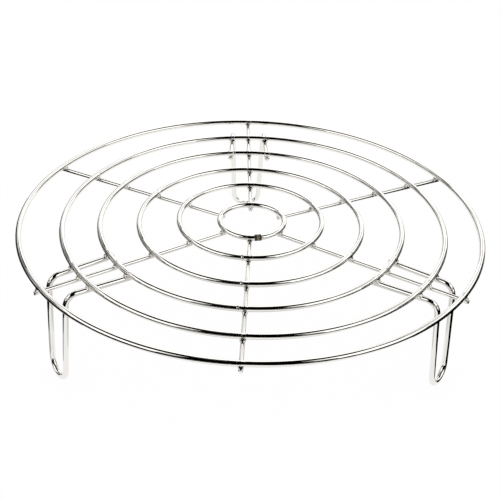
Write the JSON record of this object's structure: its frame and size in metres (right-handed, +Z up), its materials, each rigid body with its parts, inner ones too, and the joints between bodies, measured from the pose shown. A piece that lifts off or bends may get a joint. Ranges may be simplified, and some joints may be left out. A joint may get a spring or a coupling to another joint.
{
  "type": "cooling rack",
  "caption": "Round wire cooling rack: concentric polished steel rings welded on radial spokes, standing on bent wire hairpin legs.",
  "frame": {"origin": "on the surface that the feet stand on, under the middle of the outer ring", "axes": "+Z up; -Y towards the side with a single spoke and no leg, which faces the viewer in the picture; one leg at the back near +Y"},
  "size_m": [0.33, 0.3339, 0.0783],
  "materials": {
    "polished_wire": "polished",
    "cross_weld": "satin",
    "butt_weld": "satin"
  },
  "bodies": {
    "root": {"ring_1": "polished_wire", "ring_2": "polished_wire", "ring_3": "polished_wire", "ring_4": "polished_wire", "ring_5": "polished_wire", "ring_6": "polished_wire", "spoke_1": "polished_wire", "spoke_2": "polished_wire", "spoke_3": "polished_wire", "spoke_4": "polished_wire", "spoke_5": "polished_wire", "spoke_6": "polished_wire", "leg_back": "polished_wire", "leg_left": "polished_wire", "leg_right": "polished_wire", "ring_1_welds": "cross_weld", "ring_2_welds": "cross_weld", "ring_3_welds": "cross_weld", "ring_4_welds": "cross_weld", "ring_5_welds": "cross_weld", "ring_6_welds": "cross_weld", "leg_back_welds": "cross_weld", "leg_left_welds": "cross_weld", "leg_right_welds": "cross_weld", "ring_1_seam": "butt_weld", "ring_2_seam": "butt_weld", "ring_3_seam": "butt_weld", "ring_4_seam": "butt_weld", "ring_5_seam": "butt_weld", "ring_6_seam": "butt_weld"}
  },
  "joints": []
}
